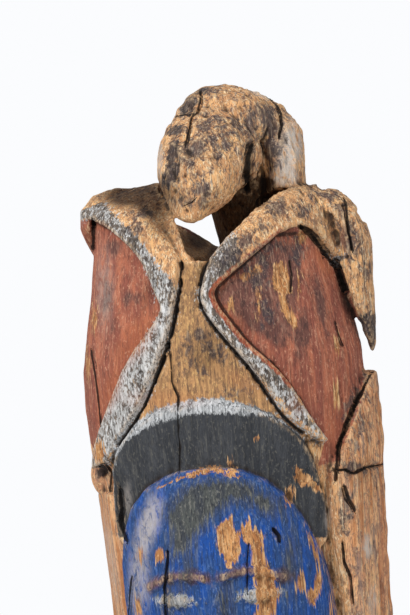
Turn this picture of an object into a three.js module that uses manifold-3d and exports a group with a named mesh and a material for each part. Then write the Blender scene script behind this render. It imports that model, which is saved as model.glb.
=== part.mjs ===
// An ancestor figure carved from one log of light tropical wood: a standing figure on a low base,
// whose long head is crowned by a perched bird with a bowed head and folded, crossed wings.
// Millimetres, +Z up, front towards -Y, origin on the floor under the middle of the log.
import * as THREE from "three";
import { mergeVertices } from "three/addons/utils/BufferGeometryUtils.js";
import Module from "manifold-3d";

const wasm = await Module();
wasm.setup();

// Heights of the carved storeys, stacked from the floor up.
const baseHeight = 60;
const legLength = 397;
const torsoLength = 277;
const neckLength = 49;
const faceHeight = 322;
const hairHeight = 67;
const birdHeight = 213;
const birdHeadRise = 95;

const hipZ = baseHeight + legLength;
const shoulderZ = hipZ + torsoLength;
const chinZ = shoulderZ + neckLength;
const faceTopZ = chinZ + faceHeight;
const hairTopZ = faceTopZ + hairHeight;
const birdTopZ = hairTopZ + birdHeight;
const crownZ = birdTopZ + birdHeadRise;

// Girths of the log and of what is carved from it.
const baseHalfWidth = 150;
const baseHalfDepth = 132;
const logHalfWidth = 139;
const logFrontDepth = 117;
const logBackDepth = 108;
const faceHalfWidth = 104;
const legRadius = 50;
const legSpread = 60;
const armRadius = 27;

// Depth of the carving: limbs and bands stand proud of the log by these.
const limbLift = 10;
const apronLift = 4;
const hairLift = 9;
const boardLift = 11;
const rootDepth = 14;

// The bird is set out on drawn heights, from 0 at the limb tips to this at its shoulders,
// and they follow its real height.
const drawnBirdHeight = 280;
const limbTipDrop = 67;
const limbTipZ = hairTopZ - limbTipDrop;
const birdScale = (birdTopZ - limbTipZ) / drawnBirdHeight;
const upBird = (drawn) => limbTipZ + drawn * birdScale;

// Smooth function through [position, value] pairs that rise in position.
function through(pairs) {
  const last = pairs.length - 1;
  const slopes = pairs.map((pair, i) => {
    const before = pairs[Math.max(i - 1, 0)];
    const after = pairs[Math.min(i + 1, last)];
    return (after[1] - before[1]) / (after[0] - before[0]);
  });
  return (at) => {
    if (at <= pairs[0][0]) return pairs[0][1];
    if (at >= pairs[last][0]) return pairs[last][1];
    const i = pairs.findIndex((pair) => pair[0] > at) - 1;
    const [x0, y0] = pairs[i];
    const [x1, y1] = pairs[i + 1];
    const span = x1 - x0;
    const t = (at - x0) / span;
    const bend = t * t * (3 - 2 * t);
    const ease = slopes[i] * t * (1 - t) ** 2 - slopes[i + 1] * t * t * (1 - t);
    return y0 + (y1 - y0) * bend + span * ease;
  };
}

// Values from low to high, both ends included.
function steps(low, high, count) {
  return Array.from({ length: count + 1 }, (_, i) => low + ((high - low) * i) / count);
}

// Closed solid through rings that all have the same number of points, each end closed by a fan.
function loft(rings) {
  const size = rings[0].length;
  const position = rings.flat().flatMap((p) => [p.x, p.y, p.z]);
  const index = [];
  for (let r = 0; r + 1 < rings.length; r += 1) {
    for (let i = 0; i < size; i += 1) {
      const a = r * size + i;
      const b = r * size + ((i + 1) % size);
      index.push(a, b, b + size, a, b + size, a + size);
    }
  }
  for (const end of [0, rings.length - 1]) {
    const middle = new THREE.Vector3();
    rings[end].forEach((p) => middle.addScaledVector(p, 1 / size));
    const centre = position.length / 3;
    position.push(middle.x, middle.y, middle.z);
    for (let i = 0; i < size; i += 1) {
      const a = end * size + i;
      const b = end * size + ((i + 1) % size);
      index.push(...(end ? [a, b, centre] : [b, a, centre]));
    }
  }
  const geometry = new THREE.BufferGeometry();
  geometry.setAttribute("position", new THREE.Float32BufferAttribute(position, 3));
  geometry.setIndex(index);
  return geometry;
}

// A three.js geometry as a manifold-3d solid, turned the right way out.
function solid(geometry) {
  const bare = geometry.clone();
  bare.deleteAttribute("normal");
  bare.deleteAttribute("uv");
  const merged = mergeVertices(bare, 1e-3);
  const vertProperties = merged.attributes.position.array;
  const make = (triVerts) => new wasm.Manifold(new wasm.Mesh({ numProp: 3, vertProperties, triVerts }));
  const facing = new Uint32Array(merged.index.array);
  const made = make(facing);
  return made.volume() > 0 ? made : make(facing.slice().reverse());
}

// The outer shell of a manifold-3d solid as a three.js geometry: its largest set of triangles
// that meet edge to edge. Carved wood is solid, so a hollow closed in between pieces is filled.
function outerShell(shape) {
  const mesh = shape.getMesh();
  const geometry = new THREE.BufferGeometry();
  geometry.setAttribute("position", new THREE.BufferAttribute(mesh.vertProperties, 3));
  geometry.setIndex([...mesh.triVerts]);
  const merged = mergeVertices(geometry, 1e-3);
  const corners = [...merged.index.array];
  const shellOf = Array.from({ length: corners.length / 3 }, (_, i) => i);
  const root = (i) => {
    while (shellOf[i] !== i) i = shellOf[i];
    return i;
  };
  const firstAtEdge = new Map();
  corners.forEach((corner, i) => {
    const triangle = Math.floor(i / 3);
    const next = corners[i % 3 === 2 ? i - 2 : i + 1];
    const edge = `${Math.min(corner, next)} ${Math.max(corner, next)}`;
    if (firstAtEdge.has(edge)) shellOf[root(triangle)] = root(firstAtEdge.get(edge));
    else firstAtEdge.set(edge, triangle);
  });
  const sizes = new Map();
  shellOf.forEach((_, i) => sizes.set(root(i), (sizes.get(root(i)) ?? 0) + 1));
  const [outer] = [...sizes].reduce((most, shell) => (shell[1] > most[1] ? shell : most));
  merged.setIndex(corners.filter((_, i) => root(Math.floor(i / 3)) === outer));
  return merged;
}

// Level ring with its own half width and its own depths to front and back.
// A squareness of 1 is an ellipse, and a lower one is fuller at the corners.
function levelRing({ x = 0, y = 0, z, wide, front, back = front, square = 1 }, count) {
  return Array.from({ length: count }, (_, i) => {
    const turn = (2 * Math.PI * i) / count;
    const s = Math.sin(turn);
    const c = Math.cos(turn);
    const across = Math.sign(s) * Math.abs(s) ** square;
    const along = Math.sign(c) * Math.abs(c) ** square;
    return new THREE.Vector3(x + wide * across, y - (along > 0 ? front : back) * along, z);
  });
}

// Limb-like solid along a smooth line of stations {at: [x, y, z], wide, deep}.
// Its sections are ellipses across the line, wide sideways and deep front to back.
function limb(stations, count, sections) {
  const line = new THREE.CatmullRomCurve3(stations.map((s) => new THREE.Vector3(...s.at)));
  const girth = (key) => through(stations.map((s, i) => [i / (stations.length - 1), s[key]]));
  const wideAt = girth("wide");
  const deepAt = girth("deep");
  return loft(
    steps(0, 1, sections).map((t) => {
      const centre = line.getPoint(t);
      const along = line.getTangent(t);
      const side = new THREE.Vector3(0, 1, 0).cross(along);
      if (side.length() < 0.3) side.set(1, 0, 0);
      side.normalize();
      const out = new THREE.Vector3().crossVectors(along, side).normalize();
      return Array.from({ length: count }, (_, i) => {
        const turn = (2 * Math.PI * i) / count;
        return centre
          .clone()
          .addScaledVector(side, wideAt(t) * Math.sin(turn))
          .addScaledVector(out, deepAt(t) * Math.cos(turn));
      });
    }),
  );
}

// The log: half width, front and back depth at each height, as shares of its greatest.
const logFootZ = chinZ - 26;
const logStations = [
  [logFootZ, 0.56, 0.5, 0.62],
  [chinZ - 12, 0.74, 0.6, 0.7],
  [chinZ + 14, 0.84, 0.68, 0.78],
  [chinZ + 80, 0.89, 0.73, 0.84],
  [chinZ + 180, 0.92, 0.79, 0.88],
  [faceTopZ - 45, 0.945, 0.9, 0.95],
  [limbTipZ - 12, 0.96, 0.95, 0.98],
  [upBird(6), 1, 0.965, 0.99],
  [upBird(75), 1.025, 1, 1],
  [upBird(101), 1.015, 1.01, 1],
  [upBird(138), 0.965, 0.985, 0.97],
  [upBird(181), 0.9, 0.93, 0.94],
  [upBird(220), 0.86, 0.86, 0.9],
  [upBird(240), 0.86, 0.81, 0.87],
  [upBird(253), 0.85, 0.74, 0.83],
  [upBird(263), 0.82, 0.65, 0.76],
  [upBird(271), 0.75, 0.53, 0.66],
  [upBird(277), 0.63, 0.37, 0.5],
  [upBird(281), 0.38, 0.18, 0.27],
];
const logWide = through(logStations.map(([z, wide]) => [z, wide * logHalfWidth]));
const logFront = through(logStations.map(([z, , front]) => [z, front * logFrontDepth]));
const logBack = through(logStations.map(([z, , , back]) => [z, back * logBackDepth]));

// Point on the log, by degrees round it from the front towards +X, height, and lift off its surface.
function onLog(degrees, z, lift = 0) {
  const turn = THREE.MathUtils.degToRad(degrees);
  const depth = Math.cos(turn) > 0 ? logFront(z) : logBack(z);
  return new THREE.Vector3(
    (logWide(z) + lift) * Math.sin(turn),
    -(depth + lift) * Math.cos(turn),
    z,
  );
}

// Strip that stands on the log. At each share t of its run, the edges are [degrees, z] on the log,
// and the profile is a list of [share across, lift] between two feet that are sunk in the wood.
function strip(edgeA, edgeB, profileAt, sections) {
  const feet = [[1, -rootDepth], [0, -rootDepth]];
  return loft(
    steps(0, 1, sections).map((t) => {
      const [degA, zA] = edgeA(t);
      const [degB, zB] = edgeB(t);
      return [...profileAt(t), ...feet].map(([share, lift]) =>
        onLog(degA + (degB - degA) * share, zA + (zB - zA) * share, lift),
      );
    }),
  );
}

// Edges of a limb, from a table of [degrees, drawn height] of one edge and then of the other.
function limbEdges(table) {
  const column = (k) => through(table.map((row, i) => [i / (table.length - 1), row[k]]));
  const [degA, drawnA, degB, drawnB] = [0, 1, 2, 3].map(column);
  return [(t) => [degA(t), upBird(drawnA(t))], (t) => [degB(t), upBird(drawnB(t))]];
}

const logCore = loft(
  [...steps(logFootZ, upBird(181), 13), ...logStations.slice(12).map(([z]) => z)].map((z) =>
    levelRing({ z, wide: logWide(z), front: logFront(z), back: logBack(z) }, 28),
  ),
);

// The valley between the shoulders, cut right through from front to back.
// It also takes off the top of the right shoulder, which is worn lower than the left one.
// Each section is its place from front to back, and then points [x, drawn height] of its floor.
const valleyRoof = birdTopZ + 40;
const valleySections = [
  [-170, [-12, 250], [-9, 226], [-6, 214], [2, 207], [10, 206], [17, 214], [28, 226], [58, 258], [78, 266]],
  [-96, [-20, 250], [-15, 226], [-12, 213], [-5, 205], [8, 203], [20, 213], [32, 226], [60, 256], [78, 266]],
  [-40, [-42, 262], [-36, 232], [-26, 210], [0, 194], [28, 194], [44, 214], [56, 236], [70, 256], [86, 267]],
  [50, [-52, 262], [-46, 236], [-36, 214], [-8, 196], [28, 194], [48, 214], [60, 240], [72, 256], [88, 267]],
  [88, [-58, 262], [-52, 238], [-37, 230], [-12, 212], [16, 205], [40, 214], [58, 240], [70, 256], [84, 267]],
  [150, [-58, 262], [-52, 238], [-37, 230], [-12, 212], [16, 205], [40, 214], [58, 240], [70, 256], [84, 267]],
];
const wornRightTop = 268;
const valley = loft(
  valleySections.map(([y, ...floor]) => [
    new THREE.Vector3(floor[0][0] - 6, y, valleyRoof),
    ...floor.map(([x, drawn]) => new THREE.Vector3(x, y, upBird(drawn))),
    new THREE.Vector3(logHalfWidth + 30, y, upBird(wornRightTop)),
    new THREE.Vector3(logHalfWidth + 30, y, valleyRoof),
  ]),
);

// Crossed limbs: each runs from its tip in to an elbow at the breast, and out again to widen
// into the shoulder that overhangs the field below it.
const leftTable = [
  [-66, 4, -52, 8],
  [-55, 40, -36.5, 38],
  [-43.5, 74, -25.5, 71],
  [-33, 113, -17.5, 109],
  [-22, 143, -12.2, 143],
  [-17.6, 160, -10.4, 161],
  [-20.5, 174, -8.7, 181],
  [-24, 193, -7.8, 203],
  [-29, 211, -11, 216],
  [-37, 227, -15, 231],
  [-51, 244, -20, 246],
  [-72, 252, -32, 261],
  [-96, 248, -60, 271],
  [-130, 246, -110, 271],
];
const rightTable = [
  [49.5, 14, 45, 16],
  [44.5, 29, 36, 28],
  [39.8, 46, 29, 45],
  [33.5, 76, 22, 76],
  [27, 98, 16, 100],
  [18.8, 120, 9.4, 123],
  [12.8, 143, 3.6, 144],
  [8.4, 160, 0.8, 158],
  [7.2, 172, 0, 170.5],
  [10.5, 180, 0.9, 181],
  [16.7, 190, 3.2, 196],
  [24.5, 202, 7.5, 210],
  [34, 215, 14, 224],
  [42, 225, 24, 239],
  [54, 228, 38, 256],
  [64, 218, 58, 267],
  [76, 196, 80, 267],
  [90, 178, 100, 260],
];
const [leftOuter, leftInner] = limbEdges(leftTable);
const [rightOuter, rightInner] = limbEdges(rightTable);

// The limb's rounded top dishes inwards as the limb widens into the shoulder.
const elbowShare = 0.5;
function limbProfile(t) {
  const dish = Math.max(0, (t - elbowShare) / (1 - elbowShare));
  return [
    [0, 0.6 * limbLift],
    [0.12 - 0.05 * dish, limbLift],
    [0.5, (1.12 - 0.5 * dish) * limbLift],
    [0.88, (1 - 0.6 * dish) * limbLift],
    [1, (0.6 - 0.5 * dish) * limbLift],
  ];
}
const limbs = [
  strip(leftOuter, leftInner, limbProfile, 24),
  strip(rightOuter, rightInner, limbProfile, 28),
];

// The flat apron between the limbs, with a narrow seam along each.
const seam = 1.8;
const apronFoot = 18;
const apronTop = 205;
function apronEdge(table, column, turn) {
  const rows = table.filter((row) => row[column + 1] <= apronTop + 1);
  const degrees = through(rows.map((row) => [row[column + 1], row[column] + turn]));
  const drawnAt = (t) => apronFoot + (apronTop - apronFoot) * t;
  return (t) => [degrees(drawnAt(t)), upBird(drawnAt(t))];
}
const apron = strip(
  apronEdge(leftTable, 2, seam),
  apronEdge(rightTable, 2, -seam),
  () => steps(0, 1, 6).map((share) => [share, apronLift]),
  8,
);

// The knob at the tip of the left limb.
const knobPlace = onLog(-78, limbTipZ - 4, -5);
const knob = new THREE.SphereGeometry(1, 12, 8)
  .rotateX(Math.PI / 2)
  .scale(12, 17, 21)
  .translate(knobPlace.x, knobPlace.y, knobPlace.z);

// One wing tip hangs free of the log, and the other is broken short.
const wingTip = limb(
  [
    { at: [88, 0, upBird(245)], wide: 14, deep: 26 },
    { at: [114, 2, upBird(247)], wide: 18, deep: 36 },
    { at: [132, 3, upBird(235)], wide: 17, deep: 32 },
    { at: [141, 3, upBird(213)], wide: 18, deep: 30 },
    { at: [140, 2, upBird(185)], wide: 19, deep: 28 },
    { at: [143.5, 1, upBird(154)], wide: 15.5, deep: 23 },
    { at: [150.5, 0, upBird(124)], wide: 8, deep: 14 },
    { at: [151, 0, upBird(96)], wide: 2.5, deep: 4 },
  ],
  10,
  13,
);
const brokenTip = limb(
  [
    { at: [-80, 4, upBird(262)], wide: 17, deep: 30 },
    { at: [-103, 4, upBird(262)], wide: 18, deep: 33 },
    { at: [-117, 4, upBird(252)], wide: 16, deep: 34 },
    { at: [-119, 4, upBird(236)], wide: 11, deep: 30 },
    { at: [-117, 4, upBird(216)], wide: 5, deep: 18 },
  ],
  10,
  6,
);

// The hair: a crescent over the forehead, from temple to temple.
const hairMiddle = -3;
const hairSpan = 51.5;
const hairFeet = [hairTopZ - 114, hairTopZ - 128];
const hairTail = 0.05;
const hairArch = (t) => {
  const turn = Math.PI * (t * (1 + 2 * hairTail) - hairTail);
  const side = Math.cos(turn) > 0 ? 0 : 1;
  return {
    degrees: hairMiddle - hairSpan * Math.cos(turn),
    z: hairFeet[side] + (hairTopZ - hairFeet[side]) * Math.sin(turn),
  };
};
const hair = strip(
  (t) => [hairArch(t).degrees, hairArch(t).z],
  (t) => [hairArch(t).degrees * 0.72, chinZ + 180 + (hairArch(t).z - chinZ - 180) * 0.55],
  () => [[0, 0.4 * hairLift], [0.05, 0.9 * hairLift], [1, hairLift]],
  22,
);

// Side boards: what is left of the log's own round, beside and behind the face.
function board(side, reach, topZ, liftAt, sections) {
  const low = chinZ - 6;
  const innerEdge = through([
    [low, 58],
    [faceTopZ - 60, 50],
    [limbTipZ - 10, 53.5],
    [limbTipZ + 9, 57],
    [limbTipZ + 53, 72],
    [limbTipZ + 80, 86],
  ]);
  const height = (t) => low + (topZ - low) * Math.sin((Math.PI / 2) * t);
  return strip(
    (t) => [side * innerEdge(height(t)), height(t)],
    (t) => [side * reach, height(t)],
    (t) => {
      const lift = liftAt(height(t));
      return [[0, lift * 0.7], [0.12, lift], [0.5, lift], [0.88, lift], [1, lift * 0.7]];
    },
    sections,
  );
}
const rightBoardLift = through([
  [limbTipZ - 40, 2 * boardLift],
  [limbTipZ - 12, 1.9 * boardLift],
  [limbTipZ + 15, 1.4 * boardLift],
  [limbTipZ + 50, 1.1 * boardLift],
]);
const boards = [
  board(1, 126, limbTipZ + 76, rightBoardLift, 16),
  board(-1, 126, limbTipZ - 22, () => boardLift / 2, 8),
];

// The bird's neck, the horseshoe of its cape, and its bowed head under a worn cap.
const birdNeck = limb(
  [
    { at: [32, 52, upBird(190)], wide: 30, deep: 30 },
    { at: [28, 46, upBird(225)], wide: 30, deep: 28 },
    { at: [26, 40, upBird(265)], wide: 36, deep: 34 },
    { at: [22, 28, upBird(300)], wide: 40, deep: 44 },
    { at: [20, 26, upBird(344)], wide: 34, deep: 34 },
  ],
  16,
  7,
);
const nape = limb(
  [
    { at: [40, 78, upBird(200)], wide: 34, deep: 16 },
    { at: [40, 78, upBird(245)], wide: 42, deep: 20 },
    { at: [36, 70, upBird(290)], wide: 46, deep: 24 },
    { at: [28, 54, upBird(334)], wide: 40, deep: 24 },
  ],
  12,
  5,
);
const cape = limb(
  [
    { at: [75, 20, upBird(258)], wide: 20, deep: 30 },
    { at: [74, 30, upBird(290)], wide: 22, deep: 36 },
    { at: [64, 40, upBird(322)], wide: 28, deep: 38 },
    { at: [40, 42, upBird(341)], wide: 26, deep: 40 },
    { at: [8, 42, upBird(338)], wide: 24, deep: 38 },
    { at: [-12, 38, upBird(322)], wide: 18, deep: 30 },
    { at: [-18, 32, upBird(296)], wide: 14, deep: 26 },
    { at: [-18, 26, upBird(268)], wide: 10, deep: 16 },
  ],
  11,
  12,
);
const cap = new THREE.SphereGeometry(1, 16, 9)
  .rotateX(Math.PI / 2)
  .scale(50, 48, 38)
  .translate(19, 8, crownZ - 38);
const birdHead = limb(
  [
    { at: [22, 40, upBird(322)], wide: 38, deep: 30 },
    { at: [20, 10, upBird(322)], wide: 46, deep: 36 },
    { at: [14, -20, upBird(314)], wide: 50, deep: 42 },
    { at: [5, -50, upBird(298)], wide: 47, deep: 42 },
    { at: [0, -74, upBird(277)], wide: 39, deep: 34 },
    { at: [-4, -90, upBird(258)], wide: 24, deep: 22 },
    { at: [-5, -97, upBird(246)], wide: 13, deep: 12 },
    { at: [-5.5, -98, upBird(241)], wide: 5, deep: 5 },
  ],
  18,
  12,
);

// The figure's face: a long oval raised like a shield, with one even curve from side to side.
const faceCentreZ = (faceTopZ + chinZ) / 2;
const faceHalfHeight = faceHeight / 2;
const browFullness = 2.6;
const chinFullness = 2.1;
const faceTip = 0.992;
const faceFront = through([
  [chinZ, 98],
  [chinZ + 12, 114],
  [chinZ + 40, 130],
  [chinZ + 107, 141],
  [chinZ + 170, 147],
  [chinZ + 215, 150],
  [chinZ + 270, 145],
  [faceTopZ - 14, 138],
  [faceTopZ, 131],
]);
const faceLean = through([
  [faceCentreZ, -2],
  [faceTopZ - 33, -10],
]);
const faceShare = (z) => Math.min(Math.abs(z - faceCentreZ) / faceHalfHeight, faceTip);
function faceWide(z) {
  const fullness = z > faceCentreZ ? browFullness : chinFullness;
  return faceHalfWidth * (1 - faceShare(z) ** fullness) ** (1 / fullness);
}
function faceSurface(x, z, lift) {
  const across = Math.min(Math.abs(x) / (faceHalfWidth * 1.08), 0.99);
  const falling = (faceFront(z) - 34) * (1 - Math.sqrt(1 - across ** 2));
  return new THREE.Vector3(faceLean(z) + x, falling - faceFront(z) - lift, z);
}
const face = loft(
  steps(-1, 1, 14).map((s) => {
    const z = faceCentreZ + faceHalfHeight * Math.sin((Math.PI / 2) * s);
    const edge = [[-1, -30], [-1, -4], [-0.97, -1]];
    const across = steps(-0.9, 0.9, 9).map((share) => [share, 0]);
    const mirrored = edge.map(([share, lift]) => [-share, lift]).reverse();
    return [...edge, ...across, ...mirrored].map(([share, lift]) =>
      faceSurface(share * faceWide(z), z, lift),
    );
  }),
);

// Features by the usual canon: eyes at half the head's height, one fifth of its width each, one apart;
// brow and foot of the nose at the thirds from hairline to chin.
const eyeZ = (chinZ + hairTopZ) / 2;
const browZ = faceTopZ - faceHeight / 3;
const noseZ = chinZ + faceHeight / 3;
const mouthZ = noseZ - faceHeight / 9;
const eyeWidth = (2 * faceHalfWidth) / 5;
const noseLine = [
  [noseZ - 2, 19, 26],
  [noseZ + 8, 21, 29],
  [noseZ + 40, 13, 20],
  [eyeZ - 12, 9, 10],
  [browZ - 4, 7, 1],
];
const noseSections = noseLine.map(([z, half, lift]) => [
  faceSurface(-half, z, -10),
  faceSurface(-half, z, lift * 0.25),
  faceSurface(-half * 0.45, z, lift * 0.9),
  faceSurface(0, z, lift),
  faceSurface(half * 0.45, z, lift * 0.9),
  faceSurface(half, z, lift * 0.25),
  faceSurface(half, z, -10),
]);
const nose = loft(noseSections);
const brow = (side) =>
  loft(
    steps(0, 1, 7).map((t) => {
      const x = side * (8 + eyeWidth * 1.5 * t);
      const z = browZ + 7 * Math.sin(Math.PI * t) - 6 * t;
      return Array.from({ length: 6 }, (_, i) => {
        const turn = (Math.PI * i) / 3;
        return faceSurface(x, z + 6 * Math.cos(turn), 5 * Math.sin(turn) - 1);
      });
    }),
  );
const almond = (x, z, halfWidth, halfHeight, lift) =>
  loft(
    steps(-1, 1, 8).map((t) => {
      const half = Math.max(halfHeight * (1 - t * t), 0.8);
      return [[-1, -8], [-1, 0.5], [-0.5, lift], [0.5, lift], [1, 0.5], [1, -8]].map(([up, out]) =>
        faceSurface(x + halfWidth * t, z + half * up, out * (out > 0 ? Math.max(1 - t * t, 0.2) : 1)),
      );
    }),
  );
const features = [
  nose,
  brow(-1),
  brow(1),
  almond(-eyeWidth, eyeZ, eyeWidth / 2, 8, 5),
  almond(eyeWidth, eyeZ, eyeWidth / 2, 8, 5),
  almond(0, mouthZ, eyeWidth * 0.72, 9, 8),
];

// The body below the chin: neck, torso, arms laid on the belly, bent legs and feet, all one with the base.
const torsoStations = [
  [hipZ - 46, 0.5, 0.5, 0.5],
  [hipZ - 20, 0.7, 0.66, 0.74],
  [hipZ + 28, 0.75, 0.72, 0.84],
  [hipZ + 90, 0.66, 0.74, 0.66],
  [hipZ + 150, 0.7, 0.76, 0.68],
  [shoulderZ - 65, 0.82, 0.74, 0.76],
  [shoulderZ - 25, 0.93, 0.66, 0.76],
  [shoulderZ - 2, 0.86, 0.56, 0.68],
  [shoulderZ + 14, 0.62, 0.48, 0.58],
  [chinZ - 16, 0.52, 0.5, 0.62],
  [chinZ + 20, 0.52, 0.55, 0.66],
];
function bodyRing(z, [wide, front, back]) {
  const depths = { front: front * logFrontDepth, back: back * logBackDepth };
  return levelRing({ z, wide: wide * logHalfWidth, ...depths, square: 0.92 }, 24);
}
const torso = loft(
  torsoStations.map(([z, ...shares]) => bodyRing(z, shares)),
);
const shoulderX = logHalfWidth - armRadius * 0.7;
const arm = (side) =>
  limb(
    [
      { at: [side * (shoulderX - 34), 0, shoulderZ - 14], wide: armRadius * 0.75, deep: armRadius },
      { at: [side * (shoulderX - 6), 2, shoulderZ - 36], wide: armRadius, deep: armRadius * 1.25 },
      { at: [side * (shoulderX + 2), 8, shoulderZ - 110], wide: armRadius * 0.85, deep: armRadius },
      { at: [side * (shoulderX - 6), 2, hipZ + 108], wide: armRadius * 0.85, deep: armRadius },
      { at: [side * (shoulderX - 20), -38, hipZ + 82], wide: armRadius * 0.8, deep: armRadius * 0.8 },
      { at: [side * (shoulderX - 52), -76, hipZ + 88], wide: armRadius * 0.7, deep: armRadius * 0.7 },
      { at: [side * (shoulderX - 84), -86, hipZ + 100], wide: armRadius * 0.62, deep: armRadius * 0.55 },
    ],
    9,
    11,
  );
const finger = (side, n) =>
  limb(
    [
      { at: [side * 42, -80, hipZ + 112 - 9 * n], wide: 6, deep: 10 },
      { at: [side * 28, -86, hipZ + 114 - 9.5 * n], wide: 5.4, deep: 9 },
      { at: [side * 13, -86, hipZ + 113 - 9 * n], wide: 4, deep: 6 },
    ],
    6,
    2,
  );
const kneeX = legSpread * 1.08;
const ankleX = legSpread * 1.04;
const legAt = (side, x, y, z, wide, deep) => ({
  at: [side * x, y, z],
  wide: legRadius * wide,
  deep: legRadius * deep,
});
const leg = (side) =>
  limb(
    [
      legAt(side, legSpread * 0.9, 4, hipZ + 10, 0.98, 1.2),
      legAt(side, legSpread, -8, hipZ - legLength * 0.2, 0.98, 1.08),
      legAt(side, kneeX, -26, hipZ - legLength * 0.44, 0.8, 0.88),
      legAt(side, kneeX, 4, hipZ - legLength * 0.66, 0.86, 0.98),
      legAt(side, ankleX, 8, hipZ - legLength * 0.9, 0.62, 0.66),
      legAt(side, ankleX, 6, baseHeight - 8, 0.66, 0.74),
    ],
    12,
    9,
  );
const footStations = [
  [38, 0.5, 30],
  [22, 0.62, 38],
  [-10, 0.66, 40],
  [-50, 0.7, 30],
  [-88, 0.74, 20],
  [-104, 0.6, 12],
];
const foot = (side) =>
  loft(
    footStations.map(([y, half, tall]) =>
      Array.from({ length: 12 }, (_, i) => {
        const turn = (Math.PI * i) / 6;
        const up = Math.cos(turn) > 0 ? tall : 8;
        const x = side * (ankleX + (38 - y) * 0.06) + legRadius * half * Math.sin(turn);
        return new THREE.Vector3(x, y, baseHeight + up * Math.cos(turn));
      }),
    ),
  );
const belt = loft(
  [
    [hipZ + 18, 0.76],
    [hipZ + 22, 0.8],
    [hipZ + 44, 0.785],
    [hipZ + 48, 0.74],
  ].map(([z, wide]) => bodyRing(z, [wide, wide - 0.03, wide + 0.07])),
);
const base = loft(
  [[0, 1], [baseHeight * 0.8, 1], [baseHeight, 0.95]].map(([z, share]) =>
    levelRing({ z, wide: baseHalfWidth * share, front: baseHalfDepth * share, square: 0.88 }, 36),
  ),
);

// The log is hollowed between the shoulders first, and then the bird's neck and head rise from it.
const carved = [...limbs, apron, hair, knob, ...boards]
  .map(solid)
  .reduce((whole, piece) => whole.add(piece), solid(logCore))
  .subtract(solid(valley));
const added = [
  wingTip,
  brokenTip,
  nape,
  birdNeck,
  cape,
  cap,
  birdHead,
  face,
  ...features,
  torso,
  belt,
  ...[-1, 1].flatMap((side) => [arm(side), leg(side), foot(side)]),
  ...[0, 1, 2, 3].flatMap((n) => [finger(-1, n), finger(1, n)]),
  base,
].map(solid);
const figure = added.reduce((whole, piece) => whole.add(piece), carved);

const wood = new THREE.MeshStandardMaterial({ color: 0xb5854f, roughness: 0.85, metalness: 0 });
const ancestorFigure = new THREE.Mesh(outerShell(figure), wood);
ancestorFigure.name = "ancestor_figure";

const part = new THREE.Group();
part.add(ancestorFigure);

export default part;
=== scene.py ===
import math

import bpy
import numpy as np
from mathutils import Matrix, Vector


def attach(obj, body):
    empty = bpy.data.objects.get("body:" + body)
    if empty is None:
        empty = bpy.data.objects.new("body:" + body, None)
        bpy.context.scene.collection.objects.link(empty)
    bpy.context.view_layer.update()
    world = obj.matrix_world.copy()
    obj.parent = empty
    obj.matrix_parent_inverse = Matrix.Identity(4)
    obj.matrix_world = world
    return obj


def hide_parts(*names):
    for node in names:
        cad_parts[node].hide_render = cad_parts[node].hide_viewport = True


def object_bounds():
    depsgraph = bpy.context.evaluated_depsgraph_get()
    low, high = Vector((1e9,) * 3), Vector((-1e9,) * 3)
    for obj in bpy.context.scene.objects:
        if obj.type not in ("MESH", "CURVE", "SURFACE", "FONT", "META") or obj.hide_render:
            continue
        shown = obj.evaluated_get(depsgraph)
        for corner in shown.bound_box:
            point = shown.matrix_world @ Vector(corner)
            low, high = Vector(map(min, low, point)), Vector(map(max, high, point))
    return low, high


# %% [markdown]
# This lesson gives the looks to an ancestor figure that was carved from one log: a standing figure whose
# long head carries a perched bird with a bowed head and folded, crossed wings.
# The solid model has the true outline and the carving that shows from a step away. Here it gets what a
# hand would feel: tool marks, open grain, cracks, worn edges, and earth paint that is half gone.
# Lengths are written in millimetres, as a carver would, and turned into metres at the end of each step.

# %% A painted wooden ancestor figure
MM = 0.001
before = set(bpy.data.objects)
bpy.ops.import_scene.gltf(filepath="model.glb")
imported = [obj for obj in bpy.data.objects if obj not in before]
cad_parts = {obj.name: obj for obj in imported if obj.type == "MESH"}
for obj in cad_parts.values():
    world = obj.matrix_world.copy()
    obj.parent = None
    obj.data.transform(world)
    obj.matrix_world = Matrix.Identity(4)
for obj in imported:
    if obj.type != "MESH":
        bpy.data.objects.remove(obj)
cad_box = [list(corner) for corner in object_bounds()]
print("CAD box", cad_box)

# %% [markdown]
# The carver works down from the top of the log in storeys, so each height is counted from the one below.
# The log's half width and its depth to the front and back change smoothly with height. The same few
# stations that shaped the solid are used again here, so that the paint finds the edges of the carving.

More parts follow.
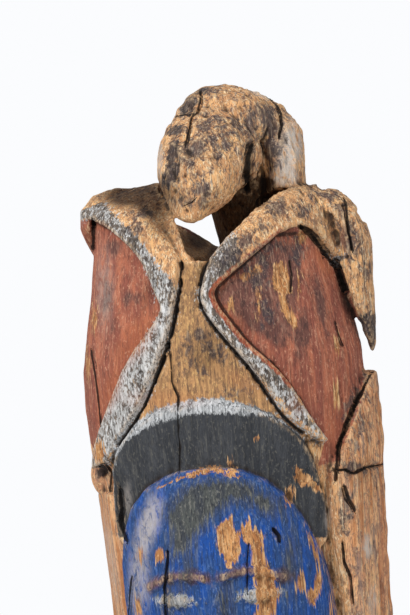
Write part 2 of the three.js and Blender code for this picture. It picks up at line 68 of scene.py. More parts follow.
# %% Heights and girths of the log
CHIN_Z = 783
FACE_TOP_Z = CHIN_Z + 322
HAIR_TOP_Z = FACE_TOP_Z + 67
LIMB_TIP_Z = HAIR_TOP_Z - 67
BIRD_TOP_Z = HAIR_TOP_Z + 213
CROWN_Z = BIRD_TOP_Z + 95
LOG_HALF_WIDTH = 139
LOG_FRONT = 117
LOG_BACK = 108
FACE_HALF_WIDTH = 104
HIP_Z = 457
BELT_Z = HIP_Z + 33
LOG_SHARES = [
    [CHIN_Z - 26, 0.56, 0.5, 0.62],
    [CHIN_Z - 12, 0.74, 0.6, 0.7],
    [CHIN_Z + 14, 0.84, 0.68, 0.78],
    [CHIN_Z + 80, 0.89, 0.73, 0.84],
    [CHIN_Z + 180, 0.92, 0.79, 0.88],
    [FACE_TOP_Z - 45, 0.945, 0.9, 0.95],
    [LIMB_TIP_Z - 12, 0.96, 0.95, 0.98],
    [LIMB_TIP_Z + 6, 1, 0.965, 0.99],
    [LIMB_TIP_Z + 75, 1.025, 1, 1],
    [LIMB_TIP_Z + 101, 1.015, 1.01, 1],
    [LIMB_TIP_Z + 138, 0.965, 0.985, 0.97],
    [LIMB_TIP_Z + 181, 0.9, 0.93, 0.94],
    [LIMB_TIP_Z + 220, 0.86, 0.86, 0.9],
    [LIMB_TIP_Z + 240, 0.86, 0.81, 0.87],
    [LIMB_TIP_Z + 253, 0.85, 0.74, 0.83],
    [LIMB_TIP_Z + 281, 0.38, 0.18, 0.27],
]


def through(pairs):
    """Smooth function through pairs of place and value that rise in place."""
    xs, ys = np.array(pairs, float).T
    slopes = np.gradient(ys, xs)

    def at(x):
        x = np.clip(x, xs[0], xs[-1])
        i = np.clip(np.searchsorted(xs, x, side="right") - 1, 0, len(xs) - 2)
        span = xs[i + 1] - xs[i]
        t = (x - xs[i]) / span
        bend = t * t * (3 - 2 * t)
        ease = slopes[i] * t * (1 - t) ** 2 - slopes[i + 1] * t * t * (1 - t)
        return ys[i] + (ys[i + 1] - ys[i]) * bend + span * ease

    return at


log_wide = through([(z, wide * LOG_HALF_WIDTH) for z, wide, _, _ in LOG_SHARES])
log_front = through([(z, front * LOG_FRONT) for z, _, front, _ in LOG_SHARES])
log_back = through([(z, back * LOG_BACK) for z, _, _, back in LOG_SHARES])
widest = round(2 * LOG_HALF_WIDTH * max(wide for _, wide, _, _ in LOG_SHARES))
print("the log is", widest, "mm wide at the wings, and the crown is", CROWN_Z, "mm up")


def on_log(points):
    """Degrees round the log from its front, and height off the log's surface, of each point."""
    x, y, z = points.T
    depth = np.where(y < 0, log_front(z), log_back(z))
    turn = np.arctan2(x / log_wide(z), -y / depth)
    reach = np.hypot(x / log_wide(z), y / depth)
    return np.degrees(turn), (reach - 1) * np.hypot(log_wide(z) * np.sin(turn), depth * np.cos(turn))


# %% [markdown]
# The camera stands a little to the figure's left side, almost level, and is turned so that the figure
# leans. One picture dot is about one millimetre on the figure. Wear that is seen in one spot, such as a
# chip or a crack, is put down in dots of the picture, and only on what faces the camera.

# %% The picture's point of view
YAW = math.radians(9)
RISE = math.radians(2)
ROLL = math.radians(5)
BACK = np.array([math.sin(YAW) * math.cos(RISE), -math.cos(YAW) * math.cos(RISE), math.sin(RISE)])
RIGHT = np.array([math.cos(YAW), math.sin(YAW), 0])
UP = np.cross(BACK, RIGHT)
MIDDLE_DOT = (222, 350)
MIDDLE_HEIGHT = 1214


def picture(points):
    """Picture dots across and down of each point."""
    across = points @ RIGHT
    down = MIDDLE_HEIGHT - points @ UP
    return (
        MIDDLE_DOT[0] + across * math.cos(ROLL) + down * math.sin(ROLL),
        MIDDLE_DOT[1] - across * math.sin(ROLL) + down * math.cos(ROLL),
    )


print("the crown's middle falls on dot", [round(float(dot)) for dot in picture(np.array([0, 0, CROWN_Z]))])

# %% [markdown]
# Real carving starts from a roughed-out block. The solid is copied, welded, and cut up into small, even
# faces, which is what fine relief needs. A light smoothing takes off the flat facets, as a scraper would.

# %% The figure, ready to be carved
VOXEL = 1.9
bpy.ops.object.select_all(action="DESELECT")
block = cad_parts["ancestor_figure"]
figure = block.copy()
figure.data = block.data.copy()
figure.name = "carved_figure"
bpy.context.collection.objects.link(figure)
bpy.context.view_layer.objects.active = figure
figure.select_set(True)


def modify(kind, **settings):
    """Adds a modifier to the figure, and applies it."""
    modifier = figure.modifiers.new(kind.lower(), kind)
    for name, value in settings.items():
        setattr(modifier, name, value)
    bpy.ops.object.modifier_apply(modifier=modifier.name)


modify("WELD", merge_threshold=0.01 * MM)
modify("REMESH", mode="VOXEL", voxel_size=VOXEL * MM)
modify("SMOOTH", factor=0.5, iterations=5)
print("faces before carving", len(figure.data.polygons))


def read(kind):
    """All vertex places, or normals, of the figure."""
    values = np.empty(len(figure.data.vertices) * 3)
    figure.data.vertices.foreach_get(kind, values)
    return values.reshape(-1, 3)


# %% [markdown]
# Wear is uneven, and nowhere the same. Noise gives waves of a known size, from a table of random numbers
# with a seed, so that every run still gives the same figure. A ramp blends one state into another.

# %% Noise and ramps
RANDOM_NUMBERS = 4096


def noise(points, across, along, seed):
    """Waves between -1 and 1, with their size in mm across the grain and along it."""
    rng = np.random.default_rng(seed)
    table = rng.uniform(-1, 1, RANDOM_NUMBERS)
    place = points / np.array([across, across, along])
    cell = np.floor(place).astype(np.int64)
    part = place - cell
    part = part * part * (3 - 2 * part)
    total = np.zeros(len(points))
    for dx in (0, 1):
        for dy in (0, 1):
            for dz in (0, 1):
                corner = cell + [dx, dy, dz]
                key = (corner[:, 0] * 73856093) ^ (corner[:, 1] * 19349663) ^ (corner[:, 2] * 83492791)
                share = np.ones(len(points))
                for axis, step in enumerate((dx, dy, dz)):
                    share *= part[:, axis] if step else 1 - part[:, axis]
                total += share * table[key % RANDOM_NUMBERS]
    return total


def ramp(values, low, high):
    """0 under low, 1 over high, and smooth in between."""
    t = np.clip((values - low) / (high - low), 0, 1)
    return t * t * (3 - 2 * t)


grid = np.mgrid[0:300:20, 0:300:20, 0:300:20].reshape(3, -1).T
print("trial waves reach", round(float(np.abs(noise(grid, 34, 60, 1)).max()), 2))

# %% [markdown]
# An outline gives the distance inside a shape, and a path gives the distance to a line, such as a crack.
# Distances rather than plain yes or no let an edge be soft, ragged or worn back later.

# %% Lines, outlines and spots


def signed_path(a, b, path):
    """Distance of each place (a, b) to a line through the path's points, under zero on its one side."""
    nearest = np.full(len(a), 1e9)
    for (a0, b0), (a1, b1) in zip(path, path[1:]):
        da, db = a1 - a0, b1 - b0
        t = np.clip(((a - a0) * da + (b - b0) * db) / max(da * da + db * db, 1e-9), 0, 1)
        off_a, off_b = a - a0 - t * da, b - b0 - t * db
        away = np.where(da * off_b < db * off_a, -1, 1) * np.hypot(off_a, off_b)
        nearest = np.where(np.abs(away) < np.abs(nearest), away, nearest)
    return nearest


def path_distance(a, b, path):
    return np.abs(signed_path(a, b, path))


def inside(a, b, outline):
    """Distance of each place inside a closed outline, and under zero outside it."""
    loop = [*outline, outline[0]]
    within = np.zeros(len(a), bool)
    for (a0, b0), (a1, b1) in zip(loop, loop[1:]):
        crosses = (b0 > b) != (b1 > b)
        within ^= crosses & (a < a0 + (b - b0) * (a1 - a0) / (b1 - b0 if b1 != b0 else 1e-9))
    return np.where(within, 1, -1) * path_distance(a, b, loop)


def spot(a, b, centre_a, centre_b, half_a, half_b, lean=0):
    """Distance inside an ellipse that leans by so many degrees."""
    turn = math.radians(lean)
    da, db = a - centre_a, b - centre_b
    along = da * math.cos(turn) + db * math.sin(turn)
    across = db * math.cos(turn) - da * math.sin(turn)
    reach = np.hypot(along / half_a, across / half_b)
    return (1 - reach) * min(half_a, half_b)


# %% [markdown]
# The two crossed limbs of the bird, the hair band and the long face are outlines on the log. Degrees are
# turned into millimetres round the log, so that distances are the same in both directions.

# %% Edges of the carving
MEAN_RADIUS = 132
DEGREE = math.pi / 180 * MEAN_RADIUS
DRAWN_BIRD_HEIGHT = 280
BIRD_SCALE = (BIRD_TOP_Z - LIMB_TIP_Z) / DRAWN_BIRD_HEIGHT
APRON_TOP_Z = LIMB_TIP_Z + 206 * BIRD_SCALE
LEFT_LIMB = [
    [-66, 4, -52, 8], [-55, 40, -36.5, 38], [-43.5, 74, -25.5, 71], [-33, 113, -17.5, 109],
    [-22, 143, -12.2, 143], [-17.6, 160, -10.4, 161], [-20.5, 174, -8.7, 181], [-24, 193, -7.8, 203],
    [-29, 211, -11, 216], [-37, 227, -15, 231], [-51, 244, -20, 246], [-72, 252, -32, 261],
    [-96, 248, -60, 271], [-130, 246, -110, 271],
]
RIGHT_LIMB = [
    [49.5, 14, 45, 16], [44.5, 29, 36, 28], [39.8, 46, 29, 45], [33.5, 76, 22, 76], [27, 98, 16, 100],
    [18.8, 120, 9.4, 123], [12.8, 143, 3.6, 144], [8.4, 160, 0.8, 158], [7.2, 172, 0, 170.5],
    [10.5, 180, 0.9, 181], [16.7, 190, 3.2, 196], [24.5, 202, 7.5, 210], [34, 215, 14, 224],
    [42, 225, 24, 239], [54, 228, 38, 256], [64, 218, 58, 267], [76, 196, 80, 267], [90, 178, 100, 260],
]


def drawn_z(height):
    """The real height of the bird's drawn height."""
    return LIMB_TIP_Z + height * BIRD_SCALE


def drawn(degrees, height):
    """A place on the unrolled log, from degrees and the bird's drawn height."""
    return degrees * DEGREE, drawn_z(height)


def limb_edge(table, column):
    """One edge of a limb as a smooth path on the unrolled log."""
    rows = np.linspace(0, 1, len(table))
    round_log = through(list(zip(rows, [row[column] for row in table])))
    up_log = through(list(zip(rows, [row[column + 1] for row in table])))
    return [drawn(round_log(t), up_log(t)) for t in np.linspace(0, 1, 40)]


left_outer, left_inner = limb_edge(LEFT_LIMB, 0), limb_edge(LEFT_LIMB, 2)
right_outer, right_inner = limb_edge(RIGHT_LIMB, 0), limb_edge(RIGHT_LIMB, 2)
left_limb = left_outer + left_inner[::-1]
right_limb = right_outer + right_inner[::-1]
left_field = left_outer + [drawn(-165, 246), drawn(-165, 92), drawn(-140, 62)]
left_field += [drawn(-106, 38), drawn(-74, 27)]
right_field = right_outer[::-1] + [drawn(47, -10), drawn(58, -6), drawn(57, 9), drawn(72, 53)]
right_field += [drawn(86, 80), drawn(165, 80), drawn(165, 246), drawn(100, 246)]
apron_outline = [p for p in left_inner if p[1] < APRON_TOP_Z]
apron_outline += [p for p in right_inner if p[1] < APRON_TOP_Z][::-1]
print("limbs have", len(left_limb), "and", len(right_limb), "points each")

# %% [markdown]
# The hair is an arch over the forehead, a little lower at the right temple. The face is a long oval,
# fuller at the brow than at the chin, that leans with the log.

# %% Edges of the hair and the face
HAIR_MIDDLE = -3
HAIR_SPAN = 51.5
HAIR_LEFT_DROP = 114
HAIR_RIGHT_DROP = 128
BROW_FULLNESS = 2.6
CHIN_FULLNESS = 2.1


def arch(t):
    """The hair band's upper edge from one temple to the other, which it passes a little."""
    turn = math.pi * (t * 1.1 - 0.05)
    foot = HAIR_TOP_Z - (HAIR_LEFT_DROP if math.cos(turn) > 0 else HAIR_RIGHT_DROP)
    across = HAIR_MIDDLE - HAIR_SPAN * math.cos(turn)
    return across * DEGREE, foot + (HAIR_TOP_Z - foot) * math.sin(turn)


hair_arch = [arch(t) for t in np.linspace(0, 1, 50)]
FACE_CENTRE_Z = (FACE_TOP_Z + CHIN_Z) / 2
FACE_HALF_HEIGHT = (FACE_TOP_Z - CHIN_Z) / 2
face_lean = through([(FACE_CENTRE_Z, -2), (FACE_TOP_Z - 33, -10)])


def face_edge(side, share):
    """A point on the face's outline, by side and by share of its half height from -1 to 1."""
    power = BROW_FULLNESS if share > 0 else CHIN_FULLNESS
    z = FACE_CENTRE_Z + FACE_HALF_HEIGHT * share
    return float(face_lean(z)) + side * FACE_HALF_WIDTH * (1 - abs(share) ** power) ** (1 / power), z


shares = np.sin(np.linspace(-math.pi / 2, math.pi / 2, 31))
face_outline = [face_edge(-1, s) for s in shares] + [face_edge(1, s) for s in shares[::-1]]
print("the face is", 2 * FACE_HALF_WIDTH, "mm wide and", 2 * FACE_HALF_HEIGHT, "mm long")

# %% [markdown]
# Every mark asks the same things of the surface: where each point is in the round, on the unrolled log
# and in the picture, which way it faces, and whether it is part of the log's own skin.

# %% What each mark asks of the surface
OUTSIDE = -99
SEEN = 0.3


class Surface:
    """What every mark needs to know about the surface: places, facing, and the fields of the carving."""

    def __init__(self):
        self.points = read("co") / MM
        self.normals = read("normal")
        self.x, self.y, self.z = self.points.T
        self.px, self.py = picture(self.points)
        self.facing = ramp(self.normals @ BACK, 0.02, 0.25)
        self.degrees, self.lift = on_log(self.points)
        self.s = self.degrees * DEGREE
        bird_part = (self.z > CHIN_Z - 10) & (self.z < BIRD_TOP_Z + 4)
        self.skin = bird_part * ramp(self.lift, -16, -9) * (1 - ramp(self.lift, 20, 26))

    def round_log(self, outline):
        return inside(self.s, self.z, outline)

    def line(self, path):
        return path_distance(self.px, self.py, path)

    def patch(self, patches):
        """Distance inside the nearest of the picture's patches, which are outlines or spots."""
        best = np.full(len(self.x), float(OUTSIDE))
        for one in patches:
            outlined = isinstance(one, list)
            within = inside(self.px, self.py, one) if outlined else spot(self.px, self.py, *one)
            best = np.maximum(best, within)
        return np.where(self.facing > SEEN, best, OUTSIDE)


print(round(100 * float(Surface().skin.mean())), "% of the points lie on the log's own skin")

# %% [markdown]
# Wood weathers along its grain: the soft early growth wears out first and leaves furrows, and ends and
# edges crumble. Cracks run with the grain too, as the log dried from outside in. All of it is carved now,
# so that light and shade fall into it. Each line is a path in picture dots, its half width and its depth.

# %% Cracks, seams and worn places
CRACKS = {
    "through the bird's brow": (
        [(201, 92), (200, 103), (197, 114), (192, 118), (189, 132), (186, 146)], 1.6, 6,
    ),
    "between shoulder and wing tip": ([(344, 200), (346, 212), (348, 233), (352, 250)], 1.8, 5),
    "left end of the hair": ([(121, 490), (123, 508), (121, 520), (127, 538)], 2.6, 9),
    "left cheek": ([(168, 548), (167, 566), (165, 585), (166, 616)], 1.6, 6),
    "apron": ([(168, 341), (171, 362), (172, 380), (178, 396), (178, 409)], 1, 3),
    "hair, in line with the apron's": ([(178, 414), (180, 440), (179, 470)], 0.9, 2),
    "board": ([(344, 486), (347, 497), (353, 508)], 2.4, 6),
    "board, lower": ([(341, 540), (343, 560), (350, 575), (352, 600)], 1.2, 4),
    "left field": ([(92, 350), (96, 375), (99, 400), (101, 425)], 1.2, 3),
    "right cheek": ([(273, 526), (278, 532), (279, 538)], 1.8, 4),
    "right field": ([(289, 262), (291, 275), (290, 292)], 1, 2),
    "right field's edge": ([(335, 322), (337, 330), (342, 345)], 1.2, 3),
    "right field, upper": ([(320, 248), (322, 258)], 1, 3),
    "under the muzzle": ([(185, 207), (192, 204), (197, 199)], 0.6, 2),
    "forehead": ([(248, 540), (246, 560), (247, 590)], 0.9, 2.5),
    "temple": ([(132, 575), (130, 600), (129, 615)], 1.2, 3),
}
SEAMS = {
    "right shoulder's overhang": (
        [(300, 227), (307, 231), (315, 241), (323, 251), (331, 262), (337, 268)], 2.2, 7,
    ),
    "gap beside the wing tip": ([(337, 268), (341, 280), (345, 292)], 3.2, 6),
    "board's edge": ([(371, 372), (357, 398), (345, 424), (337, 445), (334, 478)], 2, 6),
    "red flange": ([(93, 221), (93, 248)], 2.2, 6),
    "behind the cheek": ([(252, 146), (248, 158), (246, 172), (247, 190)], 4, 9),
    "cap over the lappet": ([(268, 97), (276, 104), (281, 114), (282, 126), (279, 138)], 1.6, 4),
    "under the cap": ([(174, 118), (182, 116), (192, 115)], 1.6, 3),
    "groove across the board": ([(332, 469), (345, 468), (352, 472), (366, 466), (384, 464)], 1.6, 4),
    "knob": ([(98, 466), (106, 463), (112, 472), (110, 490)], 1.4, 3),
}
# Places that are worn or broken away: across, down, half sizes, lean in degrees, depth in mm.
HOLLOWS = [
    (166, 122, 9, 5, -25, 9), (290, 104, 7, 5, 35, 5), (173, 165, 8, 22, -8, 3),
    (194, 151, 12, 9, 0, 2.5), (186, 108, 8, 9, 0, 3), (103, 471, 5, 6, 0, 4),
    (228, 540, 10, 22, 0, 1.6), (264, 575, 9, 38, 0, 2), (313, 586, 6, 18, 10, 1.6),
    (301, 475, 8, 10, 40, 2), (316, 484, 8, 6, 40, 1.8), (288, 494, 5, 9, 10, 1.8),
    (281, 278, 8, 15, 8, 1.2), (288, 312, 7, 16, -30, 1.2), (256, 185, 5, 16, -8, -2.5),
    (212, 176, 8, 20, -20, -1.5), (210, 128, 7, 12, 0, 1.5), (362, 215, 7, 10, 0, 3),
    (318, 188, 14, 5, 0, 2.5), (303, 194, 6, 5, 0, 2), (338, 190, 6, 6, 0, -2),
    (351, 244, 5, 14, 10, 3), (262, 202, 8, 6, -40, 3), (200, 259, 10, 2.5, -4, 4),
]
MUZZLE_PITS = [(186, 196, 34, 34, 0), (192, 108, 20, 18, 0), (200, 152, 18, 14, 0)]
print(len(CRACKS), "cracks,", len(SEAMS), "seams,", len(HOLLOWS), "chips and worn places")

# %% [markdown]
# A value on one corner of the mesh is softened by its neighbours, along the edges that join them.

# %% Neighbours on the mesh


def mesh_links():
    """The two ends of every edge, and how many edges meet at each vertex."""
    ends = np.empty(len(figure.data.edges) * 2, np.int32)
    figure.data.edges.foreach_get("vertices", ends)
    a, b = ends.reshape(-1, 2).T
    count = len(figure.data.vertices)
    return a, b, np.maximum(np.bincount(a, minlength=count) + np.bincount(b, minlength=count), 1)


def soften(values, links, times):
    """Brings each vertex's value half way to its neighbours' mean, so many times."""
    a, b, met = links
    for _ in range(times):
        total = np.bincount(a, values[b], len(met)) + np.bincount(b, values[a], len(met))
        values = 0.5 * values + 0.5 * total / met
    return values


print(len(mesh_links()[0]), "edges before carving")

# %% [markdown]
# All depths add up first, and the surface is moved once. Broad hollows of the adze come first, then
# furrows of the grain, which are deeper where the wood is bare. The bird's head is pitted as well.

# %% Grain, seams, cracks and chips
SEAM_DEPTH = 3.5
CREASE_DEPTH = 2


def carve_grain(skin):
    """Height of the weathered grain over the smooth surface, in mm."""
    p = skin.points
    shoulders = ramp(skin.z, drawn_z(215), drawn_z(262)) * ramp(skin.x, 10, 50)
    worn = np.clip(shoulders + ramp(skin.x, 112, 126) * ramp(skin.z, CHIN_Z, CHIN_Z + 20), 0, 1)
    out = 0.9 * noise(p, 34, 60, 1) + 0.5 * noise(p, 14, 26, 2)
    out -= (0.4 + 1.5 * worn) * np.abs(noise(p, 5.5, 90, 3))
    out += (0.3 + 0.7 * worn) * noise(p, 3.6, 11, 4)
    head = ramp(skin.z, BIRD_TOP_Z - 30, BIRD_TOP_Z) * ramp(skin.normals @ BACK, -0.3, 0)
    muzzle = ramp(skin.patch(MUZZLE_PITS), -6, 8)
    out += head * (1.3 * noise(p, 10, 14, 5) + 0.8 * noise(p, 5, 8, 6))
    return out - 2.4 * muzzle * ramp(noise(p, 6, 7, 7), 0.1, 0.7)


def between(edge, low, high):
    """The rows of an edge between two drawn heights."""
    return [row for row in edge if drawn_z(low) < row[1] < drawn_z(high)]


def carve_seams(skin, out):
    """Cuts the seams beside the limbs, and the crease where each limb meets its field."""
    for edge in (left_inner, right_inner):
        near = path_distance(skin.s, skin.z, between(edge, 22, 207))
        out -= SEAM_DEPTH * skin.skin * (1 - ramp(near, 1, 1 + VOXEL))
    for edge in (between(right_outer, 60, 224), between(left_outer, 20, 246)):
        near = path_distance(skin.s, skin.z, edge)
        out -= CREASE_DEPTH * skin.skin * (1 - ramp(near, 0.8, 0.8 + VOXEL))
    return out


def crack_wander(skin):
    """How far a crack strays across the grain, in picture dots."""
    return 0.8 * noise(skin.points, 9, 20, 8)


def carve_wear(skin, out):
    """Cuts the cracks, which wander and are never finer than the faces that form them, and the chips."""
    wander = crack_wander(skin)
    for path, width, depth in [*CRACKS.values(), *SEAMS.values()]:
        near = path_distance(skin.px + wander, skin.py, path)
        wide = max(width, 0.8 * VOXEL)
        out -= skin.facing * depth * (1 - ramp(near, 0.3 * wide, 1.3 * wide))
    toward = ramp(skin.normals @ BACK, -0.5, -0.2)
    for *place, depth in HOLLOWS:
        inner = spot(skin.px, skin.py, *place) + 1.2 * noise(skin.points, 6, 10, 9)
        out -= toward * depth * ramp(inner, -0.5, 3.5)
    return out


print("seams are", SEAM_DEPTH, "mm deep and the creases of the fields", CREASE_DEPTH, "mm")

# %% [markdown]
# Every cut goes straight in from the log's round, and elsewhere along the softened surface, because the
# bare normals of small faces would make its walls ragged. The sole stays flat, and nothing leaves the
# solid's own box.

# %% Moving the surface
SOLE = 1.5


def carve():
    skin = Surface()
    p = skin.points
    links = mesh_links()
    out = carve_wear(skin, carve_seams(skin, carve_grain(skin)))
    slope = [skin.x / log_wide(skin.z) ** 2, skin.y / log_front(skin.z) ** 2, 0 * skin.x]
    round_log = np.column_stack(slope)
    round_log /= np.linalg.norm(round_log, axis=1)[:, None]
    soft = np.column_stack([soften(skin.normals[:, k], links, 4) for k in range(3)])
    flat = (skin.skin * ramp((skin.normals * round_log).sum(axis=1), 0.2, 0.6))[:, None]
    way = flat * round_log + (1 - flat) * soft
    way /= np.linalg.norm(way, axis=1)[:, None]
    moved = p + way * out[:, None]
    low, high = np.array(cad_box) / MM
    moved = np.clip(moved, low, high)
    moved[skin.z < SOLE] = p[skin.z < SOLE]
    figure.data.vertices.foreach_set("co", (moved * MM).ravel())
    figure.data.update()
    print("carved between", round(out.min(), 1), "and", round(out.max(), 1), "mm")


carve()

# %% [markdown]
# The front of the bird and the upper face are seen close to, so they keep their small faces. The back and
# the legs are plainer, and give up most of theirs. Each part is thinned on its own, so that neither is
# thinned for the other's sake.

# %% Fewer faces where little happens
CLOSE_FACES = 138000
PLAIN_FACES = 36000
CLOSE_Z = 920


def thin(chosen, wanted):
    """Brings the faces whose corners are chosen down to the number that is wanted."""
    corners = np.empty(len(figure.data.loops), np.int32)
    figure.data.loops.foreach_get("vertex_index", corners)
    count = int(chosen[corners.reshape(-1, 3)].all(axis=1).sum())
    if count <= wanted:
        return
    group = figure.vertex_groups.new(name="thinned")
    group.add(np.nonzero(chosen)[0].tolist(), 1.0, "REPLACE")
    total = len(figure.data.polygons)
    modify("DECIMATE", ratio=(total - count + wanted) / total, vertex_group="thinned")
    figure.vertex_groups.clear()


def seen_close():
    skin = Surface()
    return (skin.z > CLOSE_Z) & (skin.normals @ BACK > -0.3)


modify("TRIANGULATE")
thin(~seen_close(), PLAIN_FACES)
thin(seen_close(), CLOSE_FACES)
print("faces", len(figure.data.polygons))
for polygon in figure.data.polygons:
    polygon.use_smooth = True

# %% [markdown]
# Earth colours were brushed on in flat areas: red in the two fields beside the crossed limbs, white and
# black on the limbs, ochre between them, black hair with a white edge, and a blue face. Each area is
# stored as a distance inside its outline. The paint's worn, ragged edge comes later, from its material.
# Patches are in picture dots: either an outline, or across, down, half sizes and lean of a spot.

# %% Patches of bare wood, dark stain and soot
BARE = [
    [(277, 262), (283, 262), (288, 272), (290, 293), (283, 295), (274, 290), (270, 280), (272, 270)],
    [(240, 275), (262, 264), (262, 272), (248, 281), (240, 280)],
    [(278, 296), (284, 294), (297, 322), (296, 330), (286, 320), (281, 312)],
    [(216, 523), (222, 518), (232, 512), (233, 525), (240, 530), (240, 545), (236, 557), (228, 564),
     (218, 542)],
    [(238, 528), (247, 515), (252, 524), (262, 530), (262, 545), (266, 560), (274, 572), (278, 590),
     (274, 606), (270, 617), (252, 617), (256, 600), (255, 580), (252, 560), (250, 540), (243, 538)],
    [(305, 588), (312, 584), (316, 566), (320, 575), (319, 590), (312, 604), (308, 598)],
    [(292, 464), (298, 466), (306, 474), (308, 483), (300, 484), (294, 476)],
    [(308, 474), (316, 482), (322, 490), (316, 490), (309, 482)],
    (298, 285, 2, 9, 0), (300, 238, 5, 6, 0), (238, 261, 3, 5, 0), (258, 302, 2, 12, 0),
    (336, 346, 2.5, 8, 0), (95, 318, 2.5, 10, 0), (299, 578, 4, 9, 0), (141, 553, 3, 7, 0),
    (160, 552, 5, 7, 0), (139, 606, 3, 11, 0), (232, 469, 5, 4, 0), (230, 461, 2, 4, 0),
    (288, 494, 4, 9, 10), (330, 607, 2, 10, 0), (313, 546, 2, 12, -20), (100, 452, 6, 12, 0),
    (88, 365, 2.5, 12, 0), (230, 305, 3, 6, 0), (335, 395, 3, 10, 0), (256, 437, 3, 3, 0),
]
DARK = [
    [(169, 145), (180, 143), (182, 152), (178, 160), (181, 172), (176, 184), (168, 190), (161, 180),
     (167, 165)],
    [(352, 322), (362, 316), (378, 311), (379, 332), (374, 352), (362, 344)],
    (176, 132, 11, 5, -10), (188, 105, 9, 12, 20), (197, 92, 9, 5, -15), (103, 471, 6, 7, 0),
]
SMUDGED = [
    (208, 90, 9, 4, 0), (204, 128, 7, 9, 40), (214, 147, 5, 14, -25), (219, 156, 5, 5, 0),
    (194, 151, 13, 10, 0), (262, 112, 15, 8, 0), (270, 126, 9, 12, 0), (280, 136, 4, 12, 0),
    (250, 126, 7, 11, 0), (198, 190, 6, 5, 0), (205, 195, 6, 6, 0), (186, 203, 11, 4, 0),
    (250, 147, 5, 14, 15), (186, 163, 8, 5, 0), (224, 140, 5, 14, -10), (234, 128, 4, 8, 0),
    (270, 152, 8, 12, 0), (276, 209, 10, 9, 0), (301, 211, 6, 7, -30), (326, 195, 9, 5, 0),
    (313, 186, 9, 4, 0), (262, 228, 5, 6, 0), (247, 243, 6, 8, 20), (233, 256, 10, 6, -35),
    (222, 266, 7, 5, -40), (351, 245, 5, 14, 10), (341, 215, 4, 8, 0), (256, 283, 9, 7, 0),
    (262, 268, 4, 8, 0), (296, 251, 6, 10, 0), (270, 247, 13, 5, -28), (252, 259, 14, 5, -38),
    (265, 311, 5, 10, -20), (142, 216, 9, 6, 0), (139, 228, 7, 9, 0), (366, 270, 5, 8, 0),
    (203, 334, 5, 4, 0), (213, 349, 9, 5, 30), (203, 371, 4, 4, 0), (232, 391, 7, 2, 0),
    (188, 352, 4, 12, 0), (350, 466, 14, 4, 0), (358, 430, 4, 14, 20), (352, 400, 3, 12, 30),
    (345, 508, 4, 14, 0), (366, 330, 6, 10, 0),
]
PLUM = [
    [(212, 294), (240, 274), (262, 254), (292, 242), (300, 262), (301, 288), (296, 312), (292, 336),
     (276, 346), (262, 336), (235, 312)],
    (132, 298, 10, 5, 0), (116, 248, 9, 7, 0), (108, 300, 5, 20, 0), (300, 335, 8, 22, 0),
    (318, 300, 6, 26, -15), (345, 238, 6, 12, 0),
]
SOOT = [
    [(163, 514), (172, 497), (182, 485), (200, 477), (222, 474), (245, 478), (262, 490), (250, 498),
     (232, 500), (220, 508), (208, 520), (197, 533), (186, 549), (173, 557), (168, 540), (170, 525)],
    (290, 560, 6, 22, 0), (225, 600, 6, 20, 0), (262, 499, 24, 10, 25), (186, 570, 5, 22, 10),
    (170, 596, 4, 18, 0),
]
print(sum(len(patches) for patches in (BARE, DARK, SMUDGED, PLUM, SOOT)), "patches")

# %% [markdown]
# Other changes are broad and soft: painted shade where shade falls in crevices and under overhangs, with
# some darker tone of the wood among it; how orange the red is, with painted light where the left field
# catches it; and a pale film of old paint, with a painted highlight on the left of the blue face. Each is
# an ellipse with its share at the end.

# %% Soft changes of tone, painted shade and painted light
# Painted shade with some darker tone of the wood: across, down, half sizes, lean in degrees, share.
PAINTED_SHADE_AND_DARK_TONE = [
    (146, 194, 54, 27, 8, 1.0), (116, 198, 30, 16, 0, 0.6), (158, 220, 38, 18, 55, 0.75),
    (198, 240, 28, 18, 20, 1.0), (140, 245, 16, 26, 50, 0.2), (248, 176, 8, 34, 5, 1.0),
    (262, 202, 14, 8, -45, 0.9), (345, 300, 8, 38, -16, 1.0), (205, 352, 30, 34, 0, 0.42),
    (205, 205, 14, 10, 0, 0.3), (103, 471, 9, 11, 0, 0.6), (300, 188, 22, 6, 0, 0.35),
    (360, 470, 30, 16, 0, 0.3), (120, 500, 8, 40, 0, 0.5), (240, 320, 30, 18, 45, 0.3),
    (150, 290, 12, 30, 20, 0.35), (232, 268, 20, 16, -40, 0.4), (212, 290, 10, 22, 0, 0.3),
    (88, 240, 6, 24, 0, 0.4), (190, 165, 26, 34, 0, 0.15), (186, 270, 8, 12, 0, 0.3),
]
# Orange tint of the red, and painted light where the left field catches it.
ORANGE_TINT_AND_LIGHT = [
    (135, 340, 20, 44, 35, 1.0), (112, 390, 13, 40, 20, 0.8), (322, 262, 9, 30, -30, 0.9),
    (384, 550, 10, 90, 0, 0.8), (335, 410, 18, 60, 0, 0.5), (100, 226, 14, 6, 20, 0.7),
    (165, 398, 60, 14, 0, 0.45), (240, 380, 30, 14, 30, 0.4), (88, 238, 8, 20, 0, 0.6),
    (235, 110, 26, 18, 0, 0.3), (298, 400, 16, 26, 35, 0.4),
]
